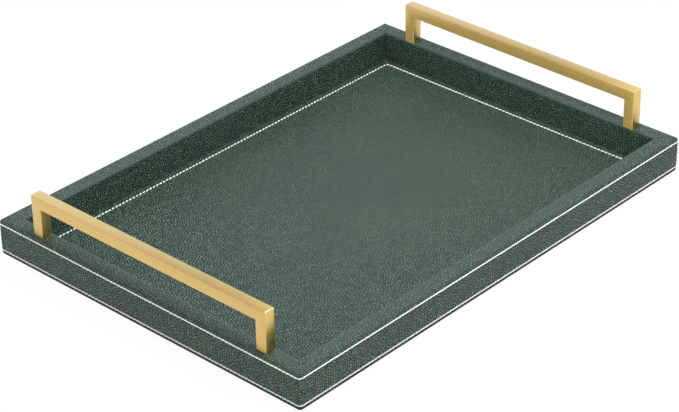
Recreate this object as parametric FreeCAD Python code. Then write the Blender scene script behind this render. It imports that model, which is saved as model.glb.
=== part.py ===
import FreeCAD, Part
import math
import os

# Leather-wrapped serving tray with two square-bar brass handles.
# Millimetres. +X along the tray's length, +Y along its width, +Z up.
# Origin: centre of the footprint, on the surface that the tray stands on.

# Tray body, over the leather
tray_length = 420.0
tray_width = 298.0
tray_height = 28.0
corner_radius = 2.5

# Fibreboard frame and base
rail_thickness = 12.0
base_thickness = 2.5
rail_inner_round = 0.3

# Coverings
leather_thickness = 1.0
floor_leather_thickness = 0.6
lining_thickness = 1.0
lining_inset = 0.3
rim_outer_round = 2.4
band_lower_round = 0.9
band_joint_gap = 0.2
band_joint_offset = 24.0

# Stitching: thread laid in a shallow groove
thread_width = 0.8
thread_depth = 0.5
thread_proud = 0.2
thread_side_clearance = 0.05
upper_thread_drop = 0.6
lower_thread_height = 3.4
floor_thread_inset = 6.8
floor_thread_corner_radius = 1.0

# Handles: square bar, mitred at the corners
handle_end_margin = 34.0
handle_rise = 32.0
bar_depth = 9.0
bar_height = 9.4
bar_edge_chamfer = 0.5
foot_margin = 0.7
foot_press = 0.6
foot_clearance = 0.1

# Handle screws, driven up through the base and the rail into the posts
screw_radius = 2.0
screw_length = 35.0
screw_head_radius = 4.0
screw_head_height = 2.1
screw_head_round = 0.8
screw_recess_width = 1.0
screw_recess_span = 4.4
screw_recess_depth = 1.3
screw_clearance = 0.25
screw_head_clearance = 0.8
thread_fit_clearance = 0.05
tapped_hole_spare = 1.5

# Brads: round nails that hold the base to the rails and the corners together
brad_radius = 0.6
brad_head_radius = 1.0
brad_head_thickness = 0.4
brad_clearance = 0.05
base_brad_length = 18.0
corner_brad_length = 25.0
long_rail_brads = 4
short_rail_brads = 2
base_brad_end_margin = 45.0
short_brad_end_margin = 95.0
corner_brad_levels = (0.3, 0.7)

# How far a cutting shape runs past what it cuts
cut_spare = 1.0
# Smallest difference that counts when edges are picked by their place
tolerance = 0.001

# Worked out from the sizes above
rim_width = rail_thickness + 2 * leather_thickness
base_bottom = lining_thickness
base_top = base_bottom + base_thickness
rail_top = tray_height - leather_thickness
rail_outer_round = rim_outer_round - leather_thickness
rim_inner_round = rail_inner_round + leather_thickness
frame_length = tray_length - 2 * leather_thickness
frame_width = tray_width - 2 * leather_thickness
frame_corner_radius = corner_radius - leather_thickness
well_length = tray_length - 2 * rim_width
well_width = tray_width - 2 * rim_width
floor_top = base_top + floor_leather_thickness
band_top = tray_height - rim_outer_round
upper_thread_height = band_top - upper_thread_drop
handle_length = tray_width - 2 * handle_end_margin
handle_top = tray_height + handle_rise
foot_level = tray_height - foot_press
handle_centre_x = tray_length / 2 - rim_width + foot_margin + bar_depth / 2
post_centre_y = (handle_length - bar_height) / 2
clear_of_rim = 3 * rim_width

SIDES = ("front", "back", "left", "right")


def save(shape, node):
    """Write one sub-part, checked to be made of closed solids."""
    if not shape.isValid() or not shape.Solids:
        raise ValueError(node + " is not a sound solid")
    shape.exportStep("parts/" + node + ".step")
    print(node, len(shape.Solids), round(shape.Volume, 1))


def rounded_block(length, width, low, high, radius):
    """An upright block centred on the Z axis, its four upright edges rounded."""
    block = Part.makeBox(length, width, high - low, FreeCAD.Vector(-length / 2, -width / 2, low))
    upright = [edge for edge in block.Edges if edge.BoundBox.ZLength > (high - low) / 2]
    return block.makeFillet(radius, upright)


def lies_at(box, level):
    """Whether a bounding box is flat and lies at one height."""
    return box.ZLength < tolerance and abs(box.ZMin - level) < tolerance


def on_glued_face(box):
    """Whether a bounding box lies within the frame's outline, behind the leather."""
    reach_x = max(abs(box.XMin), abs(box.XMax))
    reach_y = max(abs(box.YMin), abs(box.YMax))
    return reach_x < frame_length / 2 + tolerance and reach_y < frame_width / 2 + tolerance


def round_level(shape, level, radius):
    """Round every edge that lies flat at one height."""
    edges = [edge for edge in shape.Edges if lies_at(edge.BoundBox, level)]
    return shape.makeFillet(radius, edges)


def flat_ring(outer_length, outer_width, outer_radius, inset, low, high):
    """A closed band of even width round a rounded rectangle."""
    outer = rounded_block(outer_length, outer_width, low, high, outer_radius)
    inner_length = outer_length - 2 * inset
    inner_width = outer_width - 2 * inset
    inner = rounded_block(inner_length, inner_width, low - cut_spare, high + cut_spare,
                          outer_radius - inset)
    return outer.cut(inner)


def upright_cylinder(radius, low, high, x, y):
    return Part.makeCylinder(radius, high - low, FreeCAD.Vector(x, y, low))


def turned_to(side, shape):
    """Turn a shape drawn for the front side to another side of the tray."""
    turns = {"front": 0, "right": 90, "back": 180, "left": 270}
    turned = shape.copy()
    turned.rotate(FreeCAD.Vector(0, 0, 0), FreeCAD.Vector(0, 0, 1), turns[side])
    return turned


def side_spans(side):
    """The tray's length along a side, and its width across it."""
    if side in ("front", "back"):
        return tray_length, tray_width
    return tray_width, tray_length


def mitre_prism(side):
    """The space that one side of the rim fills, between its two mitre planes."""
    along, across = side_spans(side)
    inset = clear_of_rim
    corners = [
        FreeCAD.Vector(-along / 2, -across / 2, -cut_spare),
        FreeCAD.Vector(along / 2, -across / 2, -cut_spare),
        FreeCAD.Vector(along / 2 - inset, -across / 2 + inset, -cut_spare),
        FreeCAD.Vector(-along / 2 + inset, -across / 2 + inset, -cut_spare),
    ]
    outline = Part.makePolygon(corners + [corners[0]])
    prism = Part.Face(outline).extrude(FreeCAD.Vector(0, 0, tray_height + 2 * cut_spare))
    return turned_to(side, prism)


def well_prism(side, wall_inset, top, top_round):
    """What the well takes away along one side, with the wall's top edge rounded."""
    along, across = side_spans(side)
    wall = -across / 2 + wall_inset
    arc_start = FreeCAD.Vector(-along / 2, wall, top - top_round)
    lean = top_round * (1 - math.sqrt(0.5))
    arc_middle = FreeCAD.Vector(-along / 2, wall - lean, top - lean)
    arc_end = FreeCAD.Vector(-along / 2, wall - top_round, top)
    above = FreeCAD.Vector(-along / 2, wall - top_round, top + rim_width)
    far_above = FreeCAD.Vector(-along / 2, wall + clear_of_rim, top + rim_width)
    far_below = FreeCAD.Vector(-along / 2, wall + clear_of_rim, -cut_spare)
    below = FreeCAD.Vector(-along / 2, wall, -cut_spare)
    edges = [
        Part.makeLine(below, arc_start),
        Part.Arc(arc_start, arc_middle, arc_end).toShape(),
        Part.makeLine(arc_end, above),
        Part.makeLine(above, far_above),
        Part.makeLine(far_above, far_below),
        Part.makeLine(far_below, below),
    ]
    prism = Part.Face(Part.Wire(edges)).extrude(FreeCAD.Vector(along, 0, 0))
    return turned_to(side, prism)


def screw_places():
    """Where the four handle screws stand."""
    places = []
    for x in (-handle_centre_x, handle_centre_x):
        for y in (-post_centre_y, post_centre_y):
            places.append((x, y))
    return places


def spread(span, end_margin, count):
    """Evenly spaced places along a span, symmetric about its middle."""
    reach = span / 2 - end_margin
    step = 2 * reach / (count - 1)
    return [-reach + step * number for number in range(count)]


def base_brad_places():
    """Where the base is nailed up into the middle of each rail."""
    inset = leather_thickness + rail_thickness / 2
    places = []
    for x in spread(tray_length, base_brad_end_margin, long_rail_brads):
        places.append((x, -tray_width / 2 + inset))
        places.append((x, tray_width / 2 - inset))
    for y in spread(tray_width, short_brad_end_margin, short_rail_brads):
        places.append((-tray_length / 2 + inset, y))
        places.append((tray_length / 2 - inset, y))
    return places


def brad(length, radius, head_radius):
    """A brad standing on its head, point up."""
    shank = Part.makeCylinder(radius, length)
    head = Part.makeCylinder(head_radius, brad_head_thickness)
    return shank.fuse(head).removeSplitter()


def placed_base_brads(growth):
    """All base brads; growth widens them into the holes that they sit in."""
    brads = []
    for x, y in base_brad_places():
        one = brad(base_brad_length + growth, brad_radius + growth, brad_head_radius + growth)
        one.translate(FreeCAD.Vector(x, y, base_bottom))
        brads.append(one)
    return Part.makeCompound(brads)


def placed_corner_brads(growth):
    """Brads driven in from the long sides, across each mitre, into the short rails."""
    brads = []
    x_place = frame_length / 2 - rail_thickness / 2
    for turn in (-90, 90):
        for x in (-x_place, x_place):
            for level in corner_brad_levels:
                one = brad(corner_brad_length + growth, brad_radius + growth, brad_head_radius + growth)
                one.rotate(FreeCAD.Vector(0, 0, 0), FreeCAD.Vector(1, 0, 0), turn)
                side = -1 if turn == -90 else 1
                height = base_top + level * (rail_top - base_top)
                one.translate(FreeCAD.Vector(x, side * frame_width / 2, height))
                brads.append(one)
    return Part.makeCompound(brads)


def plain_rails():
    """The four frame rails before drilling, mitred at the corners."""
    block = rounded_block(frame_length, frame_width, base_top, rail_top, frame_corner_radius)
    block = round_level(block, rail_top, rail_outer_round)
    rails = {}
    for side in SIDES:
        rail = block.common(mitre_prism(side))
        wall_inset = leather_thickness + rail_thickness
        rails[side] = rail.cut(well_prism(side, wall_inset, rail_top, rail_inner_round))
    return rails


def screw_holes(low, high, radius):
    holes = [upright_cylinder(radius, low, high, x, y) for x, y in screw_places()]
    return Part.makeCompound(holes)


def drilled_rail(rail):
    """A rail with its handle screw holes and its brad holes."""
    rail = rail.cut(screw_holes(base_bottom, handle_top, screw_radius + screw_clearance))
    rail = rail.cut(placed_base_brads(brad_clearance))
    return rail.cut(placed_corner_brads(brad_clearance))


def foot_places(growth):
    """Where the handle feet bed into the leather."""
    pads = []
    for x, y in screw_places():
        corner = FreeCAD.Vector(x - bar_depth / 2 - growth, y - bar_height / 2 - growth, foot_level)
        pads.append(Part.makeBox(bar_depth + 2 * growth, bar_height + 2 * growth,
                                 foot_press + cut_spare, corner))
    return Part.makeCompound(pads)


def rim_cover(side, rail):
    """Leather over one rail: round the outer top edge, across the rim and down the wall."""
    block = rounded_block(tray_length, tray_width, base_top, tray_height, corner_radius)
    block = round_level(block, tray_height, rim_outer_round)
    cover = block.common(mitre_prism(side))
    cover = cover.cut(well_prism(side, rim_width, tray_height, rim_inner_round))
    cover = cover.cut(rail)
    band_place = flat_ring(tray_length + 2 * cut_spare, tray_width + 2 * cut_spare,
                           corner_radius + cut_spare, leather_thickness + cut_spare, 0, band_top)
    cover = cover.cut(band_place)
    cover = cover.cut(foot_places(foot_clearance))
    return cover.cut(screw_holes(base_bottom, handle_top, screw_radius + screw_clearance))


def side_band():
    """The strip of leather round the outside, with a butt joint at the back."""
    band = flat_ring(tray_length, tray_width, corner_radius, leather_thickness, base_bottom, band_top)
    lower_outer = []
    for edge in band.Edges:
        box = edge.BoundBox
        if lies_at(box, base_bottom) and not on_glued_face(box):
            lower_outer.append(edge)
    band = band.makeFillet(band_lower_round, lower_outer)
    for height in (upper_thread_height, lower_thread_height):
        band = band.cut(side_thread(height, thread_side_clearance))
    joint_x = tray_length / 2 - band_joint_offset
    joint = Part.makeBox(band_joint_gap, leather_thickness + 2 * cut_spare, tray_height,
                         FreeCAD.Vector(joint_x, frame_width / 2 - cut_spare, 0))
    return band.cut(joint)


def side_thread(height, growth):
    """One line of stitching round the outside, as a thin ring."""
    half = thread_width / 2 + growth
    return flat_ring(tray_length + 2 * thread_proud, tray_width + 2 * thread_proud,
                     corner_radius + thread_proud, thread_depth + growth, height - half, height + half)


def floor_thread(growth):
    """The line of stitching round the floor, as a thin ring."""
    half = thread_width / 2 + growth
    length = well_length - 2 * floor_thread_inset + 2 * half
    width = well_width - 2 * floor_thread_inset + 2 * half
    low = floor_top + thread_proud - thread_depth - growth
    return flat_ring(length, width, floor_thread_corner_radius + half, 2 * half, low,
                     floor_top + thread_proud)


def floor_leather():
    """Leather glued over the base, between the wall coverings."""
    sheet = Part.makeBox(well_length, well_width, floor_leather_thickness,
                         FreeCAD.Vector(-well_length / 2, -well_width / 2, base_top))
    return sheet.cut(floor_thread(thread_side_clearance))


def base_board():
    board = rounded_block(frame_length, frame_width, base_bottom, base_top, frame_corner_radius)
    board = board.cut(placed_base_brads(brad_clearance))
    head_holes = screw_holes(base_bottom - cut_spare, base_top + cut_spare,
                             screw_head_radius + screw_head_clearance)
    return board.cut(head_holes)


def bottom_lining():
    length = tray_length - 2 * lining_inset
    width = tray_width - 2 * lining_inset
    return rounded_block(length, width, 0, lining_thickness, corner_radius - lining_inset)


def whole_handle():
    """One handle as a bent square bar, centred on x = 0, before it is split at its mitres."""
    outer = Part.makeBox(bar_depth, handle_length, handle_top - foot_level,
                         FreeCAD.Vector(-bar_depth / 2, -handle_length / 2, foot_level))
    gap = Part.makeBox(bar_depth, handle_length - 2 * bar_height, handle_top - foot_level - bar_height,
                       FreeCAD.Vector(-bar_depth / 2, -handle_length / 2 + bar_height, foot_level))
    handle = outer.cut(gap)
    edges = [edge for edge in handle.Edges if edge.BoundBox.ZMax > tray_height + tolerance]
    handle = handle.makeChamfer(bar_edge_chamfer, edges)
    hole_top = base_top + screw_length + tapped_hole_spare
    for y in (-post_centre_y, post_centre_y):
        hole = upright_cylinder(screw_radius + thread_fit_clearance, base_top, hole_top, 0, y)
        handle = handle.cut(hole)
    return handle


def grip_prism():
    """The space of the grip bar, between the handle's two mitre planes."""
    half = handle_length / 2
    spare = bar_height
    corners = [
        FreeCAD.Vector(-bar_depth, -half - spare, handle_top + spare),
        FreeCAD.Vector(-bar_depth, half + spare, handle_top + spare),
        FreeCAD.Vector(-bar_depth, half - bar_height, handle_top - bar_height),
        FreeCAD.Vector(-bar_depth, -half + bar_height, handle_top - bar_height),
    ]
    outline = Part.makePolygon(corners + [corners[0]])
    return Part.Face(outline).extrude(FreeCAD.Vector(2 * bar_depth, 0, 0))


def handle_pieces():
    """Grip, front post and back post of a handle centred on x = 0."""
    handle = whole_handle()
    prism = grip_prism()
    grip = handle.common(prism)
    posts = sorted(handle.cut(prism).Solids, key=lambda solid: solid.CenterOfMass.y)
    return {"grip": grip, "post_front": posts[0], "post_back": posts[1]}


def handle_screw():
    """A low-headed machine screw, its head's bearing face at the rails' underside."""
    head = Part.makeCylinder(screw_head_radius, screw_head_height,
                             FreeCAD.Vector(0, 0, base_top - screw_head_height))
    head = round_level(head, base_top - screw_head_height, screw_head_round)
    for turn in (0, 90):
        slot = Part.makeBox(screw_recess_span, screw_recess_width, 2 * screw_recess_depth,
                            FreeCAD.Vector(-screw_recess_span / 2, -screw_recess_width / 2,
                                           base_top - screw_head_height - screw_recess_depth))
        slot.rotate(FreeCAD.Vector(0, 0, 0), FreeCAD.Vector(0, 0, 1), turn)
        head = head.cut(slot)
    shank = Part.makeCylinder(screw_radius, screw_length, FreeCAD.Vector(0, 0, base_top))
    return head.fuse(shank)


def handle_screws():
    screws = []
    for x, y in screw_places():
        screw = handle_screw()
        screw.translate(FreeCAD.Vector(x, y, 0))
        screws.append(screw)
    return Part.makeCompound(screws)


def main():
    os.makedirs("parts", exist_ok=True)

    save(bottom_lining(), "bottom_lining")
    save(base_board(), "base_board")
    rails = plain_rails()
    for side in SIDES:
        save(drilled_rail(rails[side]), "frame_rail_" + side)
        save(rim_cover(side, rails[side]), "rim_cover_" + side)
    save(side_band(), "side_band")
    save(floor_leather(), "floor_leather")

    save(side_thread(upper_thread_height, 0), "side_stitching_upper")
    save(side_thread(lower_thread_height, 0), "side_stitching_lower")
    save(floor_thread(0), "floor_stitching")

    pieces = handle_pieces()
    for hand, x in (("left", -handle_centre_x), ("right", handle_centre_x)):
        for name, piece in pieces.items():
            placed = piece.copy()
            placed.translate(FreeCAD.Vector(x, 0, 0))
            save(placed, "handle_" + hand + "_" + name)
    save(handle_screws(), "handle_screws")

    save(placed_base_brads(0), "base_brads")
    save(placed_corner_brads(0), "corner_brads")


main()
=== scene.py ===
import math

import bmesh
import bpy
from mathutils import Matrix, Vector, noise


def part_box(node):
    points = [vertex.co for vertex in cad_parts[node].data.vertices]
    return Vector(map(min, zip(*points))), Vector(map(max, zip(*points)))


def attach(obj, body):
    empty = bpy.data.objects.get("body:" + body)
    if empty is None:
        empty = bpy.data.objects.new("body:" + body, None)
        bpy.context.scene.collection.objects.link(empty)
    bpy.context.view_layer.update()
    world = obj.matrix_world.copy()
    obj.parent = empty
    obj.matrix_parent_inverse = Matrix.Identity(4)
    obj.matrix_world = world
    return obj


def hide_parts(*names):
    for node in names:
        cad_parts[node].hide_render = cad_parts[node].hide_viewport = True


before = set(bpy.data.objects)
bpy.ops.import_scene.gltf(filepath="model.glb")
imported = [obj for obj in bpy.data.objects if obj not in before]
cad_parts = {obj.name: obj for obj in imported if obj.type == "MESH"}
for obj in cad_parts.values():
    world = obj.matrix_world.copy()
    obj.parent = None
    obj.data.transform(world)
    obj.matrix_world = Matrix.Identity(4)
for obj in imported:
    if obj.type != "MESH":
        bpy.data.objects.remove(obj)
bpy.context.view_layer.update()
mm = 0.001

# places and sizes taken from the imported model
bandLow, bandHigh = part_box("side_band")
coverLow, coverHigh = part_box("rim_cover_front")
floorLow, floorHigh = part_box("floor_leather")
liningLow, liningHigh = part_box("bottom_lining")
upperThreadLow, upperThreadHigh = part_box("side_stitching_upper")
lowerThreadLow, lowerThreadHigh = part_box("side_stitching_lower")

halfLength, halfWidth = bandHigh.x, bandHigh.y
rimTop = coverHigh.z
bandTop = bandHigh.z
rimWidth = halfLength - floorHigh.x
wellDepth = rimTop - coverLow.z
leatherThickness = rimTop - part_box("frame_rail_front")[1].z
upperStitchZ = (upperThreadLow.z + upperThreadHigh.z) / 2
lowerStitchZ = (lowerThreadLow.z + lowerThreadHigh.z) / 2
threadWidth = upperThreadHigh.z - upperThreadLow.z
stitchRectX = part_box("floor_stitching")[1].x - threadWidth / 2
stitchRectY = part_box("floor_stitching")[1].y - threadWidth / 2

cornerRound = 2.5 * mm          # the tray's four upright corners
weldDistance = 0.005 * mm       # a cut this near to a vertex goes through it
hair = 0.05 * mm                # two levels nearer than this count as one
tiny = 0.01 * mm                # less than any feature
grooveRows = (-1, -0.6, -0.3, 0, 0.3, 0.6, 1)   # rows of edges across a groove, in half widths


def hexColour(code):
    # sRGB hex to linear, with alpha 1
    parts = [int(code[i:i + 2], 16) / 255 for i in (1, 3, 5)]
    linear = [c / 12.92 if c <= 0.04045 else ((c + 0.055) / 1.055) ** 2.4 for c in parts]
    return (*linear, 1.0)


def addNode(tree, kind, settings=None, inputs=None, stops=()):
    node = tree.nodes.new(kind)
    for name, value in (settings or {}).items():
        setattr(node, name, value)
    for name, value in (inputs or {}).items():
        if isinstance(value, bpy.types.NodeSocket):
            tree.links.new(value, node.inputs[name])
        else:
            node.inputs[name].default_value = value
    for i, (position, code) in enumerate(stops):
        # a new ramp already has two stops
        stop = node.color_ramp.elements[i] if i < 2 else node.color_ramp.elements.new(position)
        stop.position = position
        stop.color = hexColour(code)
    return node


def newMaterial(name):
    material = bpy.data.materials.new(name)
    material.use_nodes = True
    tree = material.node_tree
    tree.nodes.clear()
    output = tree.nodes.new("ShaderNodeOutputMaterial")
    shader = tree.nodes.new("ShaderNodeBsdfPrincipled")
    tree.links.new(shader.outputs["BSDF"], output.inputs["Surface"])
    return material, tree, shader


def makePiece(bm, name, material, replaced, smoothAngle=40):
    mesh = bpy.data.meshes.new(name)
    bm.normal_update()
    bm.to_mesh(mesh)
    bm.free()
    mesh.shade_smooth()
    mesh.set_sharp_from_angle(angle=math.radians(smoothAngle))
    piece = bpy.data.objects.new(name, mesh)
    bpy.context.scene.collection.objects.link(piece)
    mesh.materials.append(material)
    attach(piece, "root")
    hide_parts(*replaced)
    return piece


def makeBlock(low, high):
    bm = bmesh.new()
    bmesh.ops.create_cube(bm, size=1.0)
    bmesh.ops.scale(bm, verts=bm.verts, vec=Vector(high) - Vector(low))
    bmesh.ops.translate(bm, verts=bm.verts, vec=(Vector(low) + Vector(high)) / 2)
    return bm


def rise(edge):
    return abs(edge.verts[0].co.z - edge.verts[1].co.z)


def roundEdges(bm, edges, radius, segments):
    bmesh.ops.bevel(bm, geom=edges, offset=radius, segments=segments, profile=0.5,
                    affect="EDGES", material=-1)


def cutAcross(bm, point, normal, keepAll=True):
    # a new row of edges where a plane crosses, or the far side cut off
    geom = bm.verts[:] + bm.edges[:] + bm.faces[:]
    return bmesh.ops.bisect_plane(bm, geom=geom, dist=weldDistance, plane_co=point,
                                  plane_no=normal, clear_outer=not keepAll)["geom_cut"]


def addRows(bm, halfX, halfY, step):
    # evenly spaced rows of edges across the whole piece, both ways
    for x in evenly(-halfX, halfX, step):
        cutAcross(bm, (x, 0, 0), (1, 0, 0))
    for y in evenly(-halfY, halfY, step):
        cutAcross(bm, (0, y, 0), (0, 1, 0))


def addFrameRows(bm, halfX, halfY, inset):
    # one row of edges along each of the four sides, at a distance inside them
    for side in (-1, 1):
        cutAcross(bm, (side * (halfX - inset), 0, 0), (1, 0, 0))
        cutAcross(bm, (0, side * (halfY - inset), 0), (0, 1, 0))


def cutOff(bm, point, normal):
    # cuts the far side off and closes the cut
    cut = cutAcross(bm, point, normal, keepAll=False)
    edges = [e for e in cut if isinstance(e, bmesh.types.BMEdge) and e.is_boundary]
    if edges:
        bmesh.ops.edgenet_fill(bm, edges=edges)
    bmesh.ops.recalc_face_normals(bm, faces=bm.faces[:])


def thicken(bm, thickness):
    # gives a sheet its thickness, on the side away from its normals
    bm.normal_update()
    way = bm.verts.layers.float_vector.new("way")
    for v in bm.verts:
        v[way] = v.normal
    made = bmesh.ops.extrude_face_region(bm, geom=bm.faces[:], use_keep_orig=True)
    for v in made["geom"]:
        if isinstance(v, bmesh.types.BMVert):
            v.co -= v[way] * thickness
    bm.verts.layers.float_vector.remove(way)
    bmesh.ops.recalc_face_normals(bm, faces=bm.faces[:])


def layFlat(bm, place):
    # a UV map in metres, as if the leather lay flat, so that its grain keeps its size
    layer = bm.loops.layers.uv.new("UVMap")
    for face in bm.faces:
        for loop in face.loops:
            loop[layer].uv = place(loop.vert.co, face)


def mark(bm, name, share):
    # a value at each vertex, for the material to read
    layer = bm.verts.layers.float.new(name)
    for v in bm.verts:
        v[layer] = share(v.co)


def evenly(low, high, step):
    count = max(2, round((high - low) / step) + 1)
    return [low + (high - low) * i / (count - 1) for i in range(count)]


def smoothStep(t):
    t = min(max(t, 0.0), 1.0)
    return t * t * (3 - 2 * t)


def perimeter(halfX, halfY, radius):
    # the length round a rectangle with rounded corners
    return 4 * (halfX + halfY) - 8 * radius + 2 * math.pi * radius


# PU leather: polyurethane skin on fabric, embossed with a pebble grain while hot.
# To the eye: small domed pebbles that catch soft light, dark creases between them.
leatherLook = {
    # painted shade and painted highlight: the grain's colour runs from near black in the creases to light on
    # the crowns, on top of the bump
    "crease": "#060907",
    "slope": "#22352d",
    "crown": "#5c7e69",
    # painted shade along the foot of the side band, below the lower stitching
    "footShade": "#040504",
    "pebble": 2.1 * mm,         # the real grain is about 1.5 mm, too fine to show
    "irregular": 0.85,          # 0 is a square grid of pebbles, 1 the most uneven
    "bendScale": 1.7 * mm,      # how finely the outlines of the pebbles are bent
    "bendDepth": 0.4 * mm,
    "domeWidth": 0.30,          # from crease to full height, in pebbles
    "lowestPebble": 0.7,        # height of the lowest pebble, against 1 for the highest
    "grainDepth": 0.60 * mm,
    "drawnHeightAndHighlight": 0.60,        # how high the grain stands where it is drawn flat, and so how light the painted highlight there is
    "roughCrown": 0.24,
    "roughCrease": 0.60,
    "wear": 70 * mm,            # size of the faint light and dark areas
    "wearDepth": 0.07,
    "ior": 1.45,
}


def makeLeather(name, look):
    material, tree, shader = newMaterial(name)
    coords = addNode(tree, "ShaderNodeUVMap", {"uv_map": "UVMap"}).outputs["UV"]
    # the noise bends the cells, so that no two pebbles are alike
    bend = addNode(tree, "ShaderNodeTexNoise", inputs={"Vector": coords, "Scale": 1 / look["bendScale"],
                                                       "Detail": 1.0})
    centred = addNode(tree, "ShaderNodeVectorMath", {"operation": "SUBTRACT"},
                      {0: bend.outputs["Color"], 1: (0.5, 0.5, 0.5)})
    bentBy = addNode(tree, "ShaderNodeVectorMath", {"operation": "SCALE"},
                     {0: centred.outputs[0], "Scale": 2 * look["bendDepth"]})
    bent = addNode(tree, "ShaderNodeVectorMath", {"operation": "ADD"},
                   {0: coords, 1: bentBy.outputs[0]}).outputs[0]
    cells = addNode(tree, "ShaderNodeTexVoronoi",
                    {"feature": "DISTANCE_TO_EDGE", "voronoi_dimensions": "2D"},
                    {"Vector": bent, "Scale": 1 / look["pebble"], "Randomness": look["irregular"]})
    dome = addNode(tree, "ShaderNodeMapRange", {"interpolation_type": "SMOOTHSTEP"},
                   {"Value": cells.outputs["Distance"], "From Max": look["domeWidth"]})
    # each pebble has its own height, as the embossing presses unevenly
    tones = addNode(tree, "ShaderNodeTexVoronoi", {"feature": "F1", "voronoi_dimensions": "2D"},
                    {"Vector": bent, "Scale": 1 / look["pebble"], "Randomness": look["irregular"]})
    tone = addNode(tree, "ShaderNodeSeparateColor", inputs={"Color": tones.outputs["Color"]})
    level = addNode(tree, "ShaderNodeMapRange", inputs={"Value": tone.outputs["Red"],
                                                        "To Min": look["lowestPebble"],
                                                        "To Max": 1.0})
    pressed = addNode(tree, "ShaderNodeMath", {"operation": "MULTIPLY"},
                      {0: dome.outputs[0], 1: level.outputs[0]})
    # the grain flattens where the skin is drawn tight over an edge, and its colour is lifted there, a
    # painted highlight along the rim's inner edge
    drawn = addNode(tree, "ShaderNodeAttribute", {"attribute_name": "drawn"})
    height = addNode(tree, "ShaderNodeMix", {"data_type": "FLOAT"},
                     {0: drawn.outputs["Fac"], 2: pressed.outputs[0], 3: look["drawnHeightAndHighlight"]})
    # painted shade in the creases and painted highlight on the crowns, set by the height of the grain
    shade = addNode(tree, "ShaderNodeValToRGB", inputs={"Fac": height.outputs[0]},
                    stops=[(0.0, look["crease"]), (0.5, look["slope"]), (1.0, look["crown"])])
    worn = addNode(tree, "ShaderNodeTexNoise", inputs={"Vector": coords, "Scale": 1 / look["wear"],
                                                       "Detail": 2.0})
    strength = addNode(tree, "ShaderNodeMapRange", inputs={"Value": worn.outputs["Fac"],
                                                           "From Min": 0.3, "From Max": 0.7,
                                                           "To Min": 1 - look["wearDepth"],
                                                           "To Max": 1 + look["wearDepth"]})
    worked = addNode(tree, "ShaderNodeVectorMath", {"operation": "SCALE"},
                     {0: shade.outputs["Color"], "Scale": strength.outputs[0]})
    # painted shade: the leather below the lower stitching is coloured near black for the shade along the
    # foot
    painted = addNode(tree, "ShaderNodeAttribute", {"attribute_name": "painted"})
    colour = addNode(tree, "ShaderNodeMix", {"data_type": "RGBA"},
                     {0: painted.outputs["Fac"], 6: worked.outputs[0], 7: hexColour(look["footShade"])})
    rough = addNode(tree, "ShaderNodeMapRange", inputs={"Value": height.outputs[0],
                                                        "To Min": look["roughCrease"],
                                                        "To Max": look["roughCrown"]})
    bump = addNode(tree, "ShaderNodeBump", inputs={"Height": height.outputs[0], "Strength": 1.0,
                                                   "Distance": look["grainDepth"]})
    tree.links.new(colour.outputs[2], shader.inputs["Base Color"])
    tree.links.new(rough.outputs[0], shader.inputs["Roughness"])
    tree.links.new(bump.outputs[0], shader.inputs["Normal"])
    shader.inputs["IOR"].default_value = look["ior"]
    return material


# Brass plate on square bar, belt-brushed and lacquered. The lines run along the handle, and
# upright on its two end faces.
# To the eye: warm gold with fine lengthwise streaks, its gloss spread wide across them.
brassLook = {
    "colour": "#f4d17a",
    "darkStreak": "#e8c067",
    "streakWidth": 0.5 * mm,    # the real lines are near 0.1 mm, too fine to show
    "streakLength": 35 * mm,
    "streakDepth": 0.01 * mm,
    "rough": 0.55,              # on the faces that look along X
    "endRough": 0.40,           # on the top and the ends
    "roughLeast": 0.94,         # the streaks vary the roughness between these two factors
    "roughMost": 1.08,
    "spread": 0.9,
    "lacquerIor": 1.5,
    "lacquerRough": 0.22,
}


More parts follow.
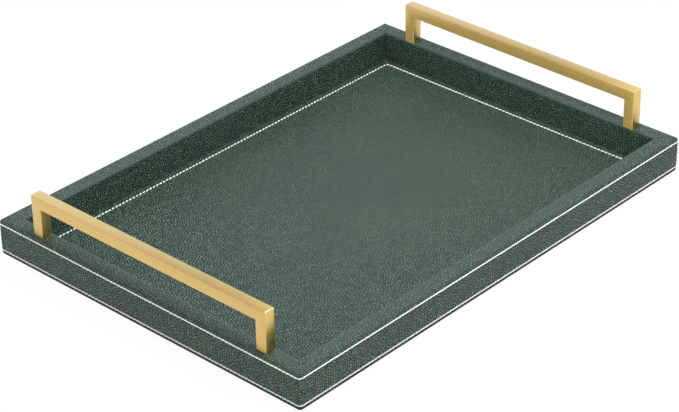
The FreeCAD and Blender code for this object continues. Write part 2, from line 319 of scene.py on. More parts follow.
def makeBrass(name, look, flatBrush, endBrush):
    # flatBrush is the way of the lines on the faces that look along X, endBrush on the others
    material, tree, shader = newMaterial(name)
    surface = addNode(tree, "ShaderNodeNewGeometry")
    facing = addNode(tree, "ShaderNodeSeparateXYZ", inputs={"Vector": surface.outputs["True Normal"]})
    size = addNode(tree, "ShaderNodeMath", {"operation": "ABSOLUTE"}, {0: facing.outputs["X"]})
    # 0.7 is the share of X in a normal at 45 degrees, halfway round an edge
    onFlat = addNode(tree, "ShaderNodeMath", {"operation": "GREATER_THAN"},
                     {0: size.outputs[0], 1: 0.7})
    across, lengthwise = 1 / look["streakWidth"], 1 / look["streakLength"]
    scales = [[lengthwise if axis == brush else across for axis in "xyz"] for brush in (endBrush, flatBrush)]
    ways = [[1.0 if axis == brush else 0.0 for axis in "xyz"] for brush in (endBrush, flatBrush)]
    scale = addNode(tree, "ShaderNodeMix", {"data_type": "VECTOR"},
                    {0: onFlat.outputs[0], 4: scales[0], 5: scales[1]})
    way = addNode(tree, "ShaderNodeMix", {"data_type": "VECTOR"},
                  {0: onFlat.outputs[0], 4: ways[0], 5: ways[1]})
    coords = addNode(tree, "ShaderNodeTexCoord").outputs["Object"]
    stretched = addNode(tree, "ShaderNodeVectorMath", {"operation": "MULTIPLY"},
                        {0: coords, 1: scale.outputs[1]})
    streaks = addNode(tree, "ShaderNodeTexNoise",
                      inputs={"Vector": stretched.outputs[0], "Scale": 1.0, "Detail": 3.0, "Roughness": 0.6})
    tint = addNode(tree, "ShaderNodeValToRGB", inputs={"Fac": streaks.outputs["Fac"]},
                   stops=[(0.25, look["darkStreak"]), (0.5, look["colour"])])
    level = addNode(tree, "ShaderNodeMapRange", inputs={"Value": onFlat.outputs[0],
                                                        "To Min": look["endRough"], "To Max": look["rough"]})
    uneven = addNode(tree, "ShaderNodeMapRange", inputs={"Value": streaks.outputs["Fac"],
                                                         "From Min": 0.3, "From Max": 0.7,
                                                         "To Min": look["roughLeast"],
                                                         "To Max": look["roughMost"]})
    rough = addNode(tree, "ShaderNodeMath", {"operation": "MULTIPLY"},
                    {0: level.outputs[0], 1: uneven.outputs[0]})
    bump = addNode(tree, "ShaderNodeBump", inputs={"Height": streaks.outputs["Fac"], "Strength": 0.5,
                                                   "Distance": look["streakDepth"]})
    # brushing spreads the gloss across its lines, so the tangent lies across them
    tangent = addNode(tree, "ShaderNodeVectorMath", {"operation": "CROSS_PRODUCT"},
                      {0: surface.outputs["True Normal"], 1: way.outputs[1]})
    tree.links.new(tint.outputs["Color"], shader.inputs["Base Color"])
    tree.links.new(rough.outputs[0], shader.inputs["Roughness"])
    tree.links.new(bump.outputs[0], shader.inputs["Normal"])
    tree.links.new(tangent.outputs[0], shader.inputs["Tangent"])
    shader.inputs["Metallic"].default_value = 1.0
    shader.inputs["Anisotropic"].default_value = look["spread"]
    shader.inputs["Coat Weight"].default_value = 1.0
    shader.inputs["Coat Roughness"].default_value = look["lacquerRough"]
    shader.inputs["Coat IOR"].default_value = look["lacquerIor"]
    return material


# Polyester sewing thread, twisted from three plies and bonded.
# To the eye: bright white with fine slanting shadows where the plies meet.
threadLook = {
    "colour": "#fdfdfb",
    "plyShade": "#e6e7e3",
    "plyScale": 7.0,            # of the wave, about 22 bands to one stitch
    "plySlant": 35,             # degrees
    "plyDepth": 0.08 * mm,
    "rough": 0.6,
    "sheen": 0.4,
}


def makeThread(name, look):
    material, tree, shader = newMaterial(name)
    slant = math.radians(look["plySlant"])
    uv = addNode(tree, "ShaderNodeUVMap", {"uv_map": "UVMap"})
    turned = addNode(tree, "ShaderNodeMapping", inputs={"Vector": uv.outputs[0],
                                                        "Rotation": (0, 0, slant)})
    plies = addNode(tree, "ShaderNodeTexWave", {"wave_type": "BANDS", "bands_direction": "X"},
                    {"Vector": turned.outputs[0], "Scale": look["plyScale"]})
    tint = addNode(tree, "ShaderNodeValToRGB", inputs={"Fac": plies.outputs["Fac"]},
                   stops=[(0.0, look["plyShade"]), (0.45, look["colour"])])
    bump = addNode(tree, "ShaderNodeBump", inputs={"Height": plies.outputs["Fac"], "Strength": 0.5,
                                                   "Distance": look["plyDepth"]})
    tree.links.new(tint.outputs["Color"], shader.inputs["Base Color"])
    tree.links.new(bump.outputs[0], shader.inputs["Normal"])
    shader.inputs["Roughness"].default_value = look["rough"]
    shader.inputs["Sheen Weight"].default_value = look["sheen"]
    return material


# Needle-punched polyester felt, dyed black.
# To the eye: dull near-black with a loose tangle of fibres.
feltLook = {
    "colour": "#131414",
    "fibreColour": "#2a2b2b",
    "fibre": 0.4 * mm,
    "fibreDepth": 0.3 * mm,
    "tangle": 1.5,
    "rough": 0.95,
    "sheen": 0.3,
}


def makeFelt(name, look):
    material, tree, shader = newMaterial(name)
    coords = addNode(tree, "ShaderNodeTexCoord").outputs["Object"]
    fibres = addNode(tree, "ShaderNodeTexNoise", inputs={"Vector": coords, "Scale": 1 / look["fibre"],
                                                         "Detail": 4.0,
                                                         "Distortion": look["tangle"]})
    tint = addNode(tree, "ShaderNodeValToRGB", inputs={"Fac": fibres.outputs["Fac"]},
                   stops=[(0.4, look["colour"]), (0.7, look["fibreColour"])])
    bump = addNode(tree, "ShaderNodeBump", inputs={"Height": fibres.outputs["Fac"], "Strength": 0.8,
                                                   "Distance": look["fibreDepth"]})
    tree.links.new(tint.outputs["Color"], shader.inputs["Base Color"])
    tree.links.new(bump.outputs[0], shader.inputs["Normal"])
    shader.inputs["Roughness"].default_value = look["rough"]
    shader.inputs["Sheen Weight"].default_value = look["sheen"]
    return material


# Medium-density fibreboard, sawn and left raw.
# To the eye: pale brown with fine darker fibres, no grain direction.
boardLook = {
    "colour": "#a58866",
    "fibreColour": "#86694a",
    "fibre": 1.2 * mm,
    "fibreDepth": 0.1 * mm,
    "tangle": 0.8,
    "rough": 0.85,
}


def makeBoard(name, look):
    material, tree, shader = newMaterial(name)
    coords = addNode(tree, "ShaderNodeTexCoord").outputs["Object"]
    fibres = addNode(tree, "ShaderNodeTexNoise", inputs={"Vector": coords, "Scale": 1 / look["fibre"],
                                                         "Detail": 5.0, "Roughness": 0.7,
                                                         "Distortion": look["tangle"]})
    tint = addNode(tree, "ShaderNodeValToRGB", inputs={"Fac": fibres.outputs["Fac"]},
                   stops=[(0.35, look["fibreColour"]), (0.6, look["colour"])])
    bump = addNode(tree, "ShaderNodeBump", inputs={"Height": fibres.outputs["Fac"], "Strength": 0.4,
                                                   "Distance": look["fibreDepth"]})
    tree.links.new(tint.outputs["Color"], shader.inputs["Base Color"])
    tree.links.new(bump.outputs[0], shader.inputs["Normal"])
    shader.inputs["Roughness"].default_value = look["rough"]
    return material


# Carbon steel, cold-headed and zinc-plated.
# To the eye: cool grey metal with a faint cloudy plating.
zincLook = {
    "colour": "#b9bcbf",
    "cloudColour": "#9a9da1",
    "cloud": 2.5 * mm,
    "roughLeast": 0.27,
    "roughMost": 0.47,
}


def makeZinc(name, look):
    material, tree, shader = newMaterial(name)
    coords = addNode(tree, "ShaderNodeTexCoord").outputs["Object"]
    clouds = addNode(tree, "ShaderNodeTexNoise", inputs={"Vector": coords, "Scale": 1 / look["cloud"],
                                                         "Detail": 3.0})
    tint = addNode(tree, "ShaderNodeValToRGB", inputs={"Fac": clouds.outputs["Fac"]},
                   stops=[(0.35, look["cloudColour"]), (0.65, look["colour"])])
    rough = addNode(tree, "ShaderNodeMapRange", inputs={"Value": clouds.outputs["Fac"],
                                                        "To Min": look["roughLeast"],
                                                        "To Max": look["roughMost"]})
    tree.links.new(tint.outputs["Color"], shader.inputs["Base Color"])
    tree.links.new(rough.outputs[0], shader.inputs["Roughness"])
    shader.inputs["Metallic"].default_value = 1.0
    return material


pebbledLeather = makeLeather("pebbled PU leather", leatherLook)
gripBrass = makeBrass("brushed brass plate, grips", brassLook, "y", "y")
postBrass = makeBrass("brushed brass plate, posts", brassLook, "y", "z")
whiteThread = makeThread("bonded polyester thread", threadLook)
blackFelt = makeFelt("needle-punched black felt", feltLook)
rawBoard = makeBoard("raw fibreboard", boardLook)
zincSteel = makeZinc("zinc-plated steel", zincLook)
print("materials made")


rimWrap = {
    "cornerSegments": 7,
    "outerSegments": 6,
    "mergeDistance": 0.03 * mm,
    "innerRound": 1.6 * mm,     # fuller than the board's edge, as leather bridges it
    "innerSegments": 5,
    "rowStep": 9 * mm,          # spacing of the rows that carry the slight unevenness
    "rowsAcross": (0.35, 0.6, 0.85),            # shares of the rim's width
    "rowsDown": (0.5 * mm, 1.2 * mm),           # below the inner round
    "unevenness": 0.10 * mm,
    "unevenPerMetre": 45,
    "seamHalfWidth": 0.6 * mm,  # the mitre seams are drawn in a little
    "seamDepth": 0.12 * mm,
    "footPress": 0.45 * mm,     # the handle feet press the leather down
    "footReach": 3.0 * mm,
    "footDepth": 0.5 * mm,      # only what lies this near to the rim's top is pressed
    "drawnTop": 0.25,           # how far the grain is drawn flat and lifted by the painted highlight, 0 to 1
    "drawnEdge": 0.80,
    "drawnReach": 0.9 * mm,
}
outwardWays = {"front": (0, -1), "back": (0, 1), "left": (-1, 0), "right": (1, 0)}
postBoxes = [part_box(f"handle_{hand}_post_{end}")
             for hand in ("left", "right") for end in ("front", "back")]


def footDistance(point):
    # how far a point on the rim is from the nearest handle foot, 0 under it
    best = 1.0
    for low, high in postBoxes:
        dx = max(low.x - point.x, point.x - high.x, 0)
        dy = max(low.y - point.y, point.y - high.y, 0)
        best = min(best, math.hypot(dx, dy))
    return best


def mitreDistance(point):
    # how far a point is from the nearest corner mitre plane
    return abs((halfLength - abs(point.x)) - (halfWidth - abs(point.y))) / math.sqrt(2)


def leatherRing():
    # the face of all four covers in one, open along its two free edges
    bm = makeBlock((-halfLength, -halfWidth, bandTop), (halfLength, halfWidth, rimTop))
    bm.faces.ensure_lookup_table()
    top = max(bm.faces, key=lambda f: f.calc_center_median().z)
    bottom = min(bm.faces, key=lambda f: f.calc_center_median().z)
    bmesh.ops.delete(bm, geom=[bottom], context="FACES_ONLY")
    upright = [e for e in bm.edges if rise(e) > hair]
    bmesh.ops.inset_region(bm, faces=[top], thickness=rimWidth, use_even_offset=True)
    well = bmesh.ops.extrude_discrete_faces(bm, faces=[top])["faces"][0]
    bmesh.ops.translate(bm, verts=well.verts, vec=(0, 0, -wellDepth))
    bmesh.ops.delete(bm, geom=[well], context="FACES_ONLY")
    roundEdges(bm, upright, cornerRound, rimWrap["cornerSegments"])
    # the rim's inner and outer edges, where its faces meet square
    level = [e for e in bm.edges if all(abs(v.co.z - rimTop) < hair for v in e.verts)
             and len(e.link_faces) == 2 and abs(e.calc_face_angle()) > math.pi / 3]
    inner = [e for e in level if all(abs(v.co.x) < halfLength - rimWidth / 2
                                     and abs(v.co.y) < halfWidth - rimWidth / 2 for v in e.verts)]
    outer = [e for e in level if e not in inner]
    roundEdges(bm, inner, rimWrap["innerRound"], rimWrap["innerSegments"])
    outer = [e for e in outer if e.is_valid]
    roundEdges(bm, outer, rimTop - bandTop - tiny, rimWrap["outerSegments"])
    bmesh.ops.remove_doubles(bm, verts=bm.verts, dist=rimWrap["mergeDistance"])
    return bm


def shapeRing(bm):
    addRows(bm, halfLength - rimWidth, halfWidth - rimWidth, rimWrap["rowStep"])
    for share in rimWrap["rowsAcross"]:
        addFrameRows(bm, halfLength, halfWidth, share * rimWidth)
    for depth in rimWrap["rowsDown"]:
        cutAcross(bm, (0, 0, rimTop - rimWrap["innerRound"] - depth), (0, 0, 1))
    reach = rimWrap["footReach"]
    for low, high in postBoxes[:2]:
        for y in (low.y - reach, low.y - reach / 2, low.y, high.y, high.y + reach / 2, high.y + reach):
            cutAcross(bm, (0, y, 0), (0, 1, 0))
    seam = rimWrap["seamHalfWidth"]
    for xSide in (-1, 1):
        for ySide in (-1, 1):
            normal = Vector((xSide, -ySide, 0)).normalized()
            corner = Vector((xSide * halfLength, ySide * halfWidth, 0))
            for shift in (-seam, -seam / 2, 0, seam / 2, seam):
                cutAcross(bm, corner + normal * shift, normal)
    bm.normal_update()
    moves = {}
    for v in bm.verts:
        # the two free edges stay straight
        if abs(v.co.z - bandTop) < hair or abs(v.co.z - coverLow.z) < hair:
            continue
        push = rimWrap["unevenness"] * noise.noise(v.co * rimWrap["unevenPerMetre"])
        push -= rimWrap["seamDepth"] * (1 - smoothStep(mitreDistance(v.co) / seam))
        if v.co.z > rimTop - rimWrap["footDepth"]:
            push -= rimWrap["footPress"] * (1 - smoothStep(footDistance(v.co) / reach))
        moves[v] = v.normal * push
    for v, move in moves.items():
        v.co += move


def drawnRimAndHighlight(co):
    # grain drawn flat, with a painted highlight: tight over the inner edge, less so across the top, not at
    # all down the walls
    inward = rimWidth - min(halfLength - abs(co.x), halfWidth - abs(co.y))
    if co.z < rimTop - rimWrap["innerRound"] and inward < rimWrap["innerRound"]:
        return 0.0
    return rimWrap["drawnTop"] + (rimWrap["drawnEdge"] - rimWrap["drawnTop"]) * (
        1 - smoothStep((inward - rimWrap["innerRound"]) / rimWrap["drawnReach"]))


def rimFlat(side):
    # u runs along the rim; v runs across it, then on down the outer round or the well's wall
    alongX = side in ("front", "back")
    middle = (halfWidth if alongX else halfLength) - rimWidth / 2

    def place(co, face):
        along, across = (co.x, co.y) if alongX else (co.y, co.x)
        drop = rimTop - co.z
        reach = abs(across)
        return (along, reach + drop if reach > middle else reach - drop)
    return place


def buildRimCovers():
    ring = leatherRing()
    shapeRing(ring)
    thicken(ring, leatherThickness)
    # the share of flattened grain and of painted highlight on the rim covers
    mark(ring, "drawn", drawnRimAndHighlight)
    # down the well's wall, across the rim and round the outer edge
    for side, (x, y) in outwardWays.items():
        part = ring.copy()
        for end in (-1, 1):
            # the cover keeps its own side of the mitre at each of its two corners
            xSide, ySide = x or end, y or end
            away = Vector((xSide, -ySide, 0)).normalized()
            if away.dot(Vector((x, y, 0))) > 0:
                away = -away
            cutOff(part, (xSide * halfLength, ySide * halfWidth, 0), away)
        layFlat(part, rimFlat(side))
        piece = makePiece(part, f"rimCover{side.capitalize()}", pebbledLeather,
                          [f"rim_cover_{side}"])
    ring.free()


buildRimCovers()
print("rim covers made")


sideBand = {
    "cornerSegments": 8,
    "rowStep": 6 * mm,
    "rowsLow": (0.12, 0.3, 0.6, 1.0),           # shares of the lower round
    "rowsHigh": (0.4, 1.0),                     # shares of the upper tuck's height
    "rowsBetween": (3 * mm, 4 * mm),            # from the stitching, and apart
    "thicknessShare": 0.95,     # the strip is stretched, so a little thinner
    "lowerRound": 0.9 * mm,
    "upperTuck": 0.30 * mm,     # how far the top edge turns in at the seam
    "upperTuckHeight": 0.35 * mm,
    "grooveDepth": 0.35 * mm,   # the thread pulls the leather in
    "grooveHalfWidth": 1.0 * mm,
    "bulge": 0.10 * mm,         # fullness between the two lines of stitching
    "unevenness": 0.07 * mm,
    "unevenPerMetre": 40,
    "jointX": 186.1 * mm,       # the strip's butt joint, at the back
    "jointGap": 0.2 * mm,
    "jointTuck": 0.25 * mm,
    "jointReach": 0.6 * mm,
}


def bandInset(z):
    # how far the band's face lies inside its full size at a height
    inset = 0.0
    low = z - bandLow.z
    radius = sideBand["lowerRound"]
    if low < radius:
        inset += radius - math.sqrt(max(radius ** 2 - (radius - low) ** 2, 0))
    top = bandTop - z
    if top < sideBand["upperTuckHeight"]:
        inset += sideBand["upperTuck"] * (1 - top / sideBand["upperTuckHeight"]) ** 2
    for line in (upperStitchZ, lowerStitchZ):
        inset += sideBand["grooveDepth"] * (1 - smoothStep(abs(z - line) / sideBand["grooveHalfWidth"]))
    between = (z - lowerStitchZ) / (upperStitchZ - lowerStitchZ)
    if 0 < between < 1:
        inset -= sideBand["bulge"] * math.sin(math.pi * between)
    return inset


def bandFlat(co, face):
    # u runs round the tray, v up it; the sides join without a step at three corners
    corner = halfLength + halfWidth - cornerRound * (2 - math.sqrt(2))
    way = face.calc_center_median()
    if halfLength - abs(way.x) > halfWidth - abs(way.y):
        return (co.x, co.z) if way.y < 0 else (2 * corner - co.x, co.z)
    return (corner + co.y, co.z) if way.x > 0 else (3 * corner - co.y, co.z)


def buildSideBand():
    bm = makeBlock((-halfLength, -halfWidth, bandLow.z), (halfLength, halfWidth, bandTop))
    ends = [f for f in bm.faces if abs(f.normal.z) > 0.5]
    bmesh.ops.delete(bm, geom=ends, context="FACES_ONLY")
    roundEdges(bm, [e for e in bm.edges if rise(e) > hair], cornerRound, sideBand["cornerSegments"])
    groove = sideBand["grooveHalfWidth"]
    margin, apart = sideBand["rowsBetween"]
    levels = [bandLow.z + sideBand["lowerRound"] * share for share in sideBand["rowsLow"]]
    levels += [bandTop - sideBand["upperTuckHeight"] * share for share in sideBand["rowsHigh"]]
    for line in (upperStitchZ, lowerStitchZ):
        levels += [line + groove * share for share in grooveRows]
    levels += evenly(lowerStitchZ + margin, upperStitchZ - margin, apart)
    for z in levels:
        if bandLow.z < z < bandTop:
            cutAcross(bm, (0, 0, z), (0, 0, 1))
    addRows(bm, halfLength - cornerRound, halfWidth - cornerRound, sideBand["rowStep"])
    halfGap = sideBand["jointGap"] / 2
    reach = sideBand["jointReach"] + halfGap
    for shift in (-reach, -halfGap, halfGap, reach):
        cutAcross(bm, (sideBand["jointX"] + shift, 0, 0), (1, 0, 0))
    gap = [f for f in bm.faces if f.calc_center_median().y > 0
           and abs(f.calc_center_median().x - sideBand["jointX"]) < halfGap]
    bmesh.ops.delete(bm, geom=gap, context="FACES")
    bm.normal_update()
    for v in bm.verts:
        outward = Vector((v.normal.x, v.normal.y, 0)).normalized()
        inset = bandInset(v.co.z)
        inset += sideBand["unevenness"] * noise.noise(v.co * sideBand["unevenPerMetre"])
        if v.co.y > 0 and abs(abs(v.co.x - sideBand["jointX"]) - halfGap) < tiny:
            inset += sideBand["jointTuck"]
        v.co -= outward * inset
    thicken(bm, leatherThickness * sideBand["thicknessShare"])
    layFlat(bm, bandFlat)
    # painted shade: the leather below the lower stitching is marked to be coloured near black
    mark(bm, "painted", lambda co: 1.0 if co.z < lowerStitchZ - groove / 2 else 0.0)
    band = makePiece(bm, "sideBand", pebbledLeather, ["side_band"])
    around = perimeter(halfLength, halfWidth, cornerRound)


buildSideBand()
print("side band made")


floorSheet = {
    "rowStep": 8 * mm,
    "rowMargin": 10 * mm,       # the even rows start this far inside the edges
    "rowsEdge": (0.2, 0.5, 1.0),                # shares of the edge's reach
    "thicknessShare": 0.6,      # thinned, so that its dips hardly enter the board
    "grooveDepth": 0.30 * mm,
    "grooveHalfWidth": 1.1 * mm,
    "edgeDrop": 0.35 * mm,      # the cut edge is pressed down beside the walls
    "edgeReach": 0.9 * mm,
    "unevenness": 0.09 * mm,
    "unevenPerMetre": 30,
    "unevenShift": 0.3,         # it lies mostly below its level
    "calmReach": 3 * mm,        # the unevenness fades out towards the walls
}


def buildFloor():
    halfX, halfY = floorHigh.x, floorHigh.y
    bm = bmesh.new()
    bmesh.ops.create_grid(bm, x_segments=1, y_segments=1, size=1.0)
    bmesh.ops.scale(bm, verts=bm.verts, vec=(halfX, halfY, 1))
    bmesh.ops.translate(bm, verts=bm.verts, vec=(0, 0, floorHigh.z))
    groove = floorSheet["grooveHalfWidth"]
    rows = [floorSheet["edgeReach"] * share for share in floorSheet["rowsEdge"]]
    rows += [halfX - stitchRectX + groove * share for share in grooveRows]
    for row in rows:
        addFrameRows(bm, halfX, halfY, row)
    margin = floorSheet["rowMargin"]
    addRows(bm, halfX - margin, halfY - margin, floorSheet["rowStep"])
    for v in bm.verts:
        edge = min(halfX - abs(v.co.x), halfY - abs(v.co.y))
        line = max(abs(v.co.x) - stitchRectX, abs(v.co.y) - stitchRectY)
        wave = noise.noise(v.co * floorSheet["unevenPerMetre"]) - floorSheet["unevenShift"]
        drop = floorSheet["edgeDrop"] * (1 - smoothStep(edge / floorSheet["edgeReach"]))
        drop += floorSheet["grooveDepth"] * (1 - smoothStep(abs(line) / groove))
        drop += floorSheet["unevenness"] * wave * smoothStep(edge / floorSheet["calmReach"])
        v.co.z -= drop
    thicken(bm, (floorHigh.z - floorLow.z) * floorSheet["thicknessShare"])
    layFlat(bm, lambda co, face: (co.x, co.y))
    sheet = makePiece(bm, "floorLeather", pebbledLeather, ["floor_leather"])


buildFloor()
print("floor leather made")


stitching = {
    "pitch": 3.5 * mm,
    "height": 0.8 * mm,
    "arch": 0.12 * mm,
    "lean": 3,                  # degrees by which stitches differ in slant
    "sunk": 0.05 * mm,          # how far the side stitches lie inside the band's full size
    "floorCornerRound": 1.5 * mm,
}
# slants in degrees; the side stitches are longer than the pitch, so that their ends overlap
sideStitch = {"length": 3.7 * mm, "width": 1.2 * mm, "slant": 5}
floorStitch = {"length": 2.8 * mm, "width": 1.3 * mm, "slant": 13}


def oneStitch(length, width):
    # a capsule along X, raised in the middle
    bm = bmesh.new()
    bm.loops.layers.uv.new("UVMap")
    bmesh.ops.create_uvsphere(bm, u_segments=8, v_segments=6, radius=0.5, calc_uvs=True)
    bmesh.ops.rotate(bm, verts=bm.verts, matrix=Matrix.Rotation(math.pi / 2, 3, "Y"))
    bmesh.ops.scale(bm, verts=bm.verts, vec=(width, width, stitching["height"]))
    for v in bm.verts:
        if abs(v.co.x) > tiny:
            v.co.x += math.copysign((length - width) / 2, v.co.x)
        v.co.z += stitching["arch"] * (1 - (2 * v.co.x / length) ** 2)
    return bm


def alongRect(halfX, halfY, radius, distance):
    # the place and heading at a distance along a rounded rectangle, anticlockwise
    runs = [(2 * (halfX - radius), Vector((-halfX + radius, -halfY)), 0),
            (2 * (halfY - radius), Vector((halfX, -halfY + radius)), 90),
            (2 * (halfX - radius), Vector((halfX - radius, halfY)), 180),
            (2 * (halfY - radius), Vector((-halfX, halfY - radius)), 270)]
    bend = math.pi / 2 * radius
    for length, start, heading in runs:
        turn = math.radians(heading)
        forward = Vector((math.cos(turn), math.sin(turn)))
        left = Vector((-forward.y, forward.x))
        if distance <= length:
            return start + forward * distance, turn
        distance -= length
        if distance <= bend:
            centre = start + forward * length + left * radius
            swept = distance / radius
            return centre + (forward * math.sin(swept) - left * math.cos(swept)) * radius, turn + swept
        distance -= bend
    return runs[0][1], 0.0


def buildStitchLine(name, node, stitch, halfX, halfY, radius, z):
    template = oneStitch(stitch["length"], stitch["width"])
    mesh = bpy.data.meshes.new("stitch")
    template.to_mesh(mesh)
    template.free()
    whole = perimeter(halfX, halfY, radius)
    count = round(whole / stitching["pitch"])
    bm = bmesh.new()
    for i in range(count):
        # noise read at a place of its own for each stitch of each line
        wobble = noise.noise(Vector((i * 3.7, z * 900, 0.5)))
        slant = stitch["slant"] + stitching["lean"] * wobble
        lean = Matrix.Rotation(math.radians(slant), 3, "Z")
        before = len(bm.verts)
        bm.from_mesh(mesh)
        bm.verts.ensure_lookup_table()
        for v in bm.verts[before:]:
            # laid along the line, so that a stitch on a corner bends with it
            co = lean @ v.co
            place, turn = alongRect(halfX, halfY, radius, ((i + 0.5) * whole / count + co.x) % whole)
            outward = Vector((math.sin(turn), -math.cos(turn)))
            out, up = (-co.y, co.z) if stitch is floorStitch else (co.z, co.y)
            v.co = (*(place + outward * out), z + up)
    bpy.data.meshes.remove(mesh)
    makePiece(bm, name, whiteThread, [node], smoothAngle=80)


for height, z in (("upper", upperStitchZ), ("lower", lowerStitchZ)):
    buildStitchLine(f"sideStitching{height.capitalize()}", f"side_stitching_{height}", sideStitch,
                    halfLength - stitching["sunk"], halfWidth - stitching["sunk"], cornerRound, z)
buildStitchLine("floorStitching", "floor_stitching", floorStitch, stitchRectX, stitchRectY,
                stitching["floorCornerRound"], floorHigh.z)
print("stitching made")


bar = {"edge": 0.7 * mm, "edgeSegments": 3}     # eased edges


def buildHandle(hand):
    gripLow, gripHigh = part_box(f"handle_{hand}_grip")
    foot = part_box(f"handle_{hand}_post_front")[0]
    thick = gripHigh.z - gripLow.z
    halfSpan = abs(foot.y)
    # a block as wide as the handle; its two end strips are drawn down into the posts
    bm = makeBlock((gripLow.x, -halfSpan, gripLow.z), (gripHigh.x, halfSpan, gripHigh.z))
    for side in (-1, 1):
        cutAcross(bm, (0, side * (halfSpan - thick), 0), (0, 1, 0))
    ends = [f for f in bm.faces if f.normal.z < -0.9 and abs(f.calc_center_median().y) > halfSpan - thick]
    for end in bmesh.ops.extrude_discrete_faces(bm, faces=ends)["faces"]:
        bmesh.ops.translate(bm, verts=end.verts, vec=(0, 0, foot.z - gripLow.z))
    bmesh.ops.dissolve_limit(bm, angle_limit=math.radians(1), verts=bm.verts[:], edges=bm.edges[:])
    bmesh.ops.recalc_face_normals(bm, faces=bm.faces[:])
    edges = [e for e in bm.edges if max(v.co.z for v in e.verts) > foot.z + hair]
    roundEdges(bm, edges, bar["edge"], bar["edgeSegments"])
    # cut along the mitres into the grip and the two posts
    grip = bm.copy()
    for side in (-1, 1):
        cutOff(grip, (0, side * halfSpan, gripHigh.z), Vector((0, side, -1)).normalized())
    makePiece(grip, f"handle{hand.capitalize()}Grip", gripBrass, [f"handle_{hand}_grip"])
    for side, end in ((-1, "front"), (1, "back")):
        post = bm.copy()
        cutOff(post, (0, side * halfSpan, gripHigh.z), Vector((0, -side, 1)).normalized())
        cutOff(post, (0, 0, 0), (0, -side, 0))
        makePiece(post, f"handle{hand.capitalize()}Post{end.capitalize()}", postBrass,
                  [f"handle_{hand}_post_{end}"])
    bm.free()


for hand in ("left", "right"):
    buildHandle(hand)
print("handles made")


lining = {"edge": 0.3 * mm, "edgeSegments": 2, "cornerRound": 2.2 * mm, "cornerSegments": 6}


def buildLining():
    bm = makeBlock(liningLow, liningHigh)
    roundEdges(bm, [e for e in bm.edges if rise(e) > hair], lining["cornerRound"],
               lining["cornerSegments"])
    roundEdges(bm, [e for e in bm.edges if rise(e) < hair], lining["edge"], lining["edgeSegments"])
    felt = makePiece(bm, "bottomLining", blackFelt, ["bottom_lining"])


buildLining()
print("bottom lining made")


keptLooks = {"base_board": rawBoard, "frame_rail_front": rawBoard, "frame_rail_back": rawBoard,
             "frame_rail_left": rawBoard, "frame_rail_right": rawBoard,
             "handle_screws": zincSteel, "base_brads": zincSteel, "corner_brads": zincSteel}
for node, material in keptLooks.items():
    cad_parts[node].data.materials.clear()
    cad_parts[node].data.materials.append(material)
print("hidden parts finished")


studio = {
    "floorSize": 8.0,
    "floorGap": 0.2 * mm,       # keeps the floor and the lining from lying in one plane
    "floorColour": "#e6e6e6",   # the floor's bounce; the camera and the gloss see it white
    "cameraWhite": 0.95,
    "glossWhite": 0.95,
    "skyLeft": "#f4f2ea",       # faintly warm
    "skyLeftStrength": 0.87,
    "skyRight": "#f0f4ff",      # faintly cool
    "skyRightStrength": 0.825,
    "skyRightFrom": 0.6,        # X of the direction where the right colour is reached
    "glossSky": "#eef1fb",
    "glossSkyLow": 1.15,        # the gloss sees bright walls and a dimmer ceiling
    "glossSkyHigh": 0.4,
    "wallTop": 0.5,             # Z of the direction where the walls end
    "ceilingEdge": 0.85,        # and where the ceiling begins
    "boxPower": 5.8,
    "boxPlace": (0.0, -0.12, 0.75),
    "boxSize": 0.4,
    "fillPower": 3.0,
    "fillPlace": (0.5, -1.7, 0.7),
    "fillSize": 1.2,
}


def buildFloorStage():
    bm = bmesh.new()
    bmesh.ops.create_grid(bm, x_segments=1, y_segments=1, size=studio["floorSize"] / 2)
    bmesh.ops.translate(bm, verts=bm.verts, vec=(0, 0, -studio["floorGap"]))
    mesh = bpy.data.meshes.new("studioFloor")
    bm.to_mesh(mesh)
    bm.free()
    stage = bpy.data.objects.new("studioFloor", mesh)
    bpy.context.scene.collection.objects.link(stage)
    # what the camera sees is mostly plain white, with a share of real light for the shadow
    material = bpy.data.materials.new("white studio floor")
    material.use_nodes = True
    tree = material.node_tree
    tree.nodes.clear()
    output = tree.nodes.new("ShaderNodeOutputMaterial")
    lit = addNode(tree, "ShaderNodeBsdfDiffuse", inputs={"Color": hexColour(studio["floorColour"])})
    plain = addNode(tree, "ShaderNodeEmission", inputs={"Color": (1, 1, 1, 1), "Strength": 1.0})
    path = addNode(tree, "ShaderNodeLightPath")
    seen = addNode(tree, "ShaderNodeMath", {"operation": "MULTIPLY"},
                   {0: path.outputs["Is Camera Ray"], 1: studio["cameraWhite"]})
    mirrored = addNode(tree, "ShaderNodeMath", {"operation": "MAXIMUM"},
                       {0: path.outputs["Is Glossy Ray"], 1: path.outputs["Is Transmission Ray"]})
    share = addNode(tree, "ShaderNodeMath", {"operation": "MULTIPLY_ADD"},
                    {0: mirrored.outputs[0], 1: studio["glossWhite"], 2: seen.outputs[0]})
    mixed = addNode(tree, "ShaderNodeMixShader", inputs={0: share.outputs[0], 1: lit.outputs[0],
                                                         2: plain.outputs[0]})
    # from beneath the floor is clear, so that the underside can be looked at
    side = addNode(tree, "ShaderNodeNewGeometry")
    clear = addNode(tree, "ShaderNodeBsdfTransparent")
    sided = addNode(tree, "ShaderNodeMixShader", inputs={0: side.outputs["Backfacing"], 1: mixed.outputs[0],
                                                         2: clear.outputs[0]})
    tree.links.new(sided.outputs[0], output.inputs["Surface"])
    mesh.materials.append(material)


def addAreaLight(name, place, size, power, inGloss=True):
    # a square light that faces the middle of the tray
    data = bpy.data.lights.new(name, "AREA")
    data.shape = "SQUARE"
    data.size = size
    data.energy = power
    light = bpy.data.objects.new(name, data)
    light.location = place
    light.rotation_euler = Vector(place).to_track_quat("Z", "Y").to_euler()
    light.visible_glossy = inGloss
    bpy.context.scene.collection.objects.link(light)


# a long lens, looking down across the near left corner, a little rolled; turns in degrees
view = {
    "azimuth": -47.11,
    "elevation": 30.85,
    "roll": -0.90,
    "target": (-25.7 * mm, -15.5 * mm, 21.0 * mm),
    "distance": 1751.1 * mm,
    "lens": 127.21,
}


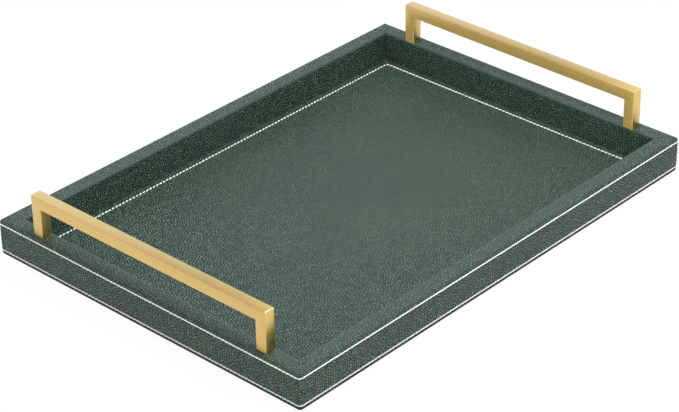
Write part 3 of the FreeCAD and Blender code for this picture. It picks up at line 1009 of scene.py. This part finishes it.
def buildCamera():
    azimuth, elevation, roll = [math.radians(view[name]) for name in ("azimuth", "elevation", "roll")]
    back = Vector((math.sin(azimuth) * math.cos(elevation), -math.cos(azimuth) * math.cos(elevation),
                   math.sin(elevation)))
    right = (-back).cross(Vector((0, 0, 1))).normalized()
    up = right.cross(-back)
    rolledRight = right * math.cos(roll) + up * math.sin(roll)
    rolledUp = -right * math.sin(roll) + up * math.cos(roll)
    data = bpy.data.cameras.new("camera")
    data.sensor_width = 36.0
    data.lens = view["lens"]
    data.clip_start = 0.05
    data.clip_end = 50.0
    camera = bpy.data.objects.new("camera", data)
    turn = Matrix((rolledRight, rolledUp, back)).transposed().to_4x4()
    camera.matrix_world = Matrix.Translation(Vector(view["target"]) + back * view["distance"]) @ turn
    bpy.context.scene.collection.objects.link(camera)
    bpy.context.scene.camera = camera


def buildWorld():
    world = bpy.data.worlds.new("studio")
    world.use_nodes = True
    tree = world.node_tree
    tree.nodes.clear()
    output = tree.nodes.new("ShaderNodeOutputWorld")
    ways = addNode(tree, "ShaderNodeTexCoord")
    split = addNode(tree, "ShaderNodeSeparateXYZ", inputs={"Vector": ways.outputs["Generated"]})
    along = addNode(tree, "ShaderNodeMapRange", inputs={"Value": split.outputs["X"], "From Min": -1.0,
                                                        "From Max": studio["skyRightFrom"]})
    tint = addNode(tree, "ShaderNodeValToRGB", inputs={"Fac": along.outputs[0]},
                   stops=[(0.0, studio["skyLeft"]), (1.0, studio["skyRight"])])
    level = addNode(tree, "ShaderNodeMapRange", inputs={"Value": along.outputs[0],
                                                        "To Min": studio["skyLeftStrength"],
                                                        "To Max": studio["skyRightStrength"]})
    sky = addNode(tree, "ShaderNodeBackground", inputs={"Color": tint.outputs["Color"],
                                                        "Strength": level.outputs[0]})
    white = addNode(tree, "ShaderNodeBackground", inputs={"Color": (1, 1, 1, 1), "Strength": 1.0})
    wall = addNode(tree, "ShaderNodeMapRange", {"interpolation_type": "SMOOTHSTEP"},
                   {"Value": split.outputs["Z"],
                    "From Min": studio["wallTop"], "From Max": studio["ceilingEdge"],
                    "To Min": studio["glossSkyLow"], "To Max": studio["glossSkyHigh"]})
    gloss = addNode(tree, "ShaderNodeBackground", inputs={"Color": hexColour(studio["glossSky"]),
                                                          "Strength": wall.outputs[0]})
    path = addNode(tree, "ShaderNodeLightPath")
    mirrored = addNode(tree, "ShaderNodeMath", {"operation": "MAXIMUM"},
                       {0: path.outputs["Is Glossy Ray"], 1: path.outputs["Is Transmission Ray"]})
    lit = addNode(tree, "ShaderNodeMixShader", inputs={0: mirrored.outputs[0],
                                                       1: sky.outputs[0], 2: gloss.outputs[0]})
    mixed = addNode(tree, "ShaderNodeMixShader", inputs={0: path.outputs["Is Camera Ray"],
                                                         1: lit.outputs[0], 2: white.outputs[0]})
    tree.links.new(mixed.outputs[0], output.inputs["Surface"])
    bpy.context.scene.world = world


buildFloorStage()
buildWorld()
addAreaLight("softbox", studio["boxPlace"], studio["boxSize"], studio["boxPower"])
addAreaLight("fill", studio["fillPlace"], studio["fillSize"], studio["fillPower"], inGloss=False)
buildCamera()
bpy.context.scene.view_settings.view_transform = "Standard"
print("studio made")
